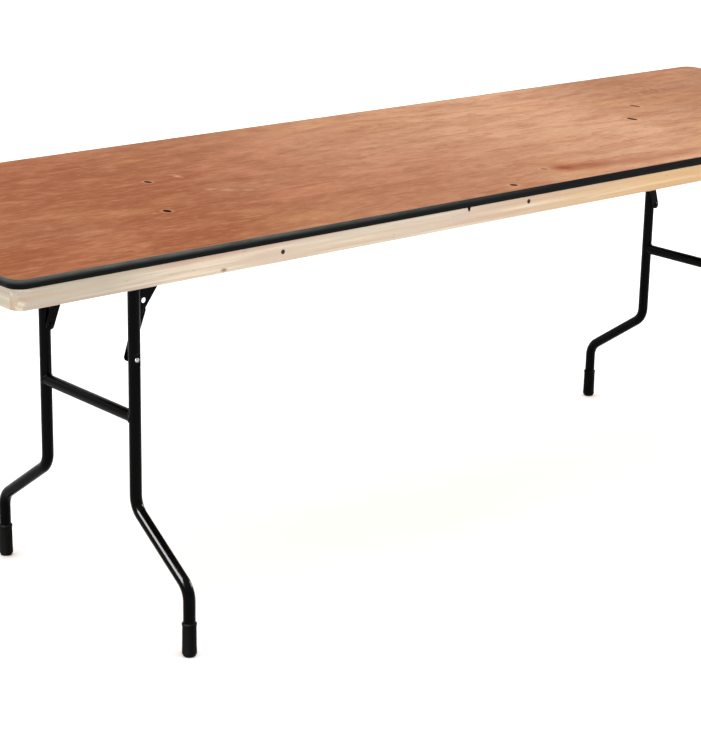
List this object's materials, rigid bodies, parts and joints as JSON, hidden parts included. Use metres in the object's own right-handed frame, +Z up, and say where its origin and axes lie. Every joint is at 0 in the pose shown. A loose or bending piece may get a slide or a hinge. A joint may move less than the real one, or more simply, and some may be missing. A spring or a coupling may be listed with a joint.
{
  "type": "banquet table",
  "caption": "Long rectangular folding table with a plywood top, a vinyl edge band, pine rails and wishbone steel leg frames that fold flat under the top on knee braces.",
  "frame": {"origin": "on the floor, under the middle of the top", "axes": "+X along the top's length, +Y across its width, +Z up"},
  "size_m": [2.4384, 0.762, 0.762],
  "materials": {
    "plywood": "satin varnish over orange-brown veneer",
    "pine": "clear-coated pale pine",
    "edge_band": "satin black vinyl",
    "black_steel": "satin black powder coat",
    "foot_rubber": "matt black rubber",
    "zinc": "zinc-plated steel"
  },
  "bodies": {
    "table_top": {"plywood_top": "plywood", "edge_band": "edge_band", "front_rail": "pine", "back_rail": "pine", "left_end_rail": "pine", "right_end_rail": "pine", "left_cross_cleat": "pine", "right_cross_cleat": "pine", "centre_cleat": "pine", "left_hinge_plates": "black_steel", "left_hinge_straps": "black_steel", "left_anchor_brackets": "black_steel", "right_hinge_plates": "black_steel", "right_hinge_straps": "black_steel", "right_anchor_brackets": "black_steel"},
    "left_leg_frame": {"left_hinge_tube": "black_steel", "left_cross_bar": "black_steel", "left_foot_caps": "foot_rubber", "left_leg_spacers": "zinc", "left_front_leg": "black_steel", "left_back_leg": "black_steel"},
    "left_front_brace_upper": {"left_front_upper_link": "black_steel"},
    "left_front_brace_lower": {"left_front_lower_link": "black_steel"},
    "left_back_brace_upper": {"left_back_upper_link": "black_steel"},
    "left_back_brace_lower": {"left_back_lower_link": "black_steel"},
    "right_leg_frame": {"right_hinge_tube": "black_steel", "right_cross_bar": "black_steel", "right_foot_caps": "foot_rubber", "right_leg_spacers": "zinc", "right_front_leg": "black_steel", "right_back_leg": "black_steel"},
    "right_front_brace_upper": {"right_front_upper_link": "black_steel"},
    "right_front_brace_lower": {"right_front_lower_link": "black_steel"},
    "right_back_brace_upper": {"right_back_upper_link": "black_steel"},
    "right_back_brace_lower": {"right_back_lower_link": "black_steel"}
  },
  "joints": [
    {"name": "left_frame_fold", "type": "hinge", "parent": "table_top", "child": "left_leg_frame", "pos_m": [-0.8312, 0, 0.7315], "axis": [0, -1, 0], "range_deg": [0, 90]},
    {"name": "left_front_brace_swing", "type": "hinge", "parent": "table_top", "child": "left_front_brace_upper", "pos_m": [-0.701, -0.12, 0.7315], "axis": [0, -1, 0], "range_deg": [0, 125.9]},
    {"name": "left_front_knee", "type": "hinge", "parent": "left_front_brace_upper", "child": "left_front_brace_lower", "pos_m": [-0.80413, -0.12, 0.58852], "axis": [0, -1, 0], "range_deg": [-197.1, 0]},
    {"name": "left_back_brace_swing", "type": "hinge", "parent": "table_top", "child": "left_back_brace_upper", "pos_m": [-0.701, 0.12, 0.7315], "axis": [0, -1, 0], "range_deg": [0, 125.9]},
    {"name": "left_back_knee", "type": "hinge", "parent": "left_back_brace_upper", "child": "left_back_brace_lower", "pos_m": [-0.80413, 0.12, 0.58852], "axis": [0, -1, 0], "range_deg": [-197.1, 0]},
    {"name": "right_frame_fold", "type": "hinge", "parent": "table_top", "child": "right_leg_frame", "pos_m": [0.8312, 0, 0.7315], "axis": [0, 1, 0], "range_deg": [0, 90]},
    {"name": "right_front_brace_swing", "type": "hinge", "parent": "table_top", "child": "right_front_brace_upper", "pos_m": [0.701, -0.12, 0.7315], "axis": [0, 1, 0], "range_deg": [0, 125.9]},
    {"name": "right_front_knee", "type": "hinge", "parent": "right_front_brace_upper", "child": "right_front_brace_lower", "pos_m": [0.80413, -0.12, 0.58852], "axis": [0, 1, 0], "range_deg": [-197.1, 0]},
    {"name": "right_back_brace_swing", "type": "hinge", "parent": "table_top", "child": "right_back_brace_upper", "pos_m": [0.701, 0.12, 0.7315], "axis": [0, 1, 0], "range_deg": [0, 125.9]},
    {"name": "right_back_knee", "type": "hinge", "parent": "right_back_brace_upper", "child": "right_back_brace_lower", "pos_m": [0.80413, 0.12, 0.58852], "axis": [0, 1, 0], "range_deg": [-197.1, 0]}
  ],
  "couplings": [
    {"joint": "left_front_brace_swing", "follows": "left_frame_fold", "ratio": 1.3978},
    {"joint": "left_front_knee", "follows": "left_frame_fold", "ratio": -2.1889},
    {"joint": "left_back_brace_swing", "follows": "left_frame_fold", "ratio": 1.3978},
    {"joint": "left_back_knee", "follows": "left_frame_fold", "ratio": -2.1889},
    {"joint": "right_front_brace_swing", "follows": "right_frame_fold", "ratio": 1.3978},
    {"joint": "right_front_knee", "follows": "right_frame_fold", "ratio": -2.1889},
    {"joint": "right_back_brace_swing", "follows": "right_frame_fold", "ratio": 1.3978},
    {"joint": "right_back_knee", "follows": "right_frame_fold", "ratio": -2.1889}
  ]
}
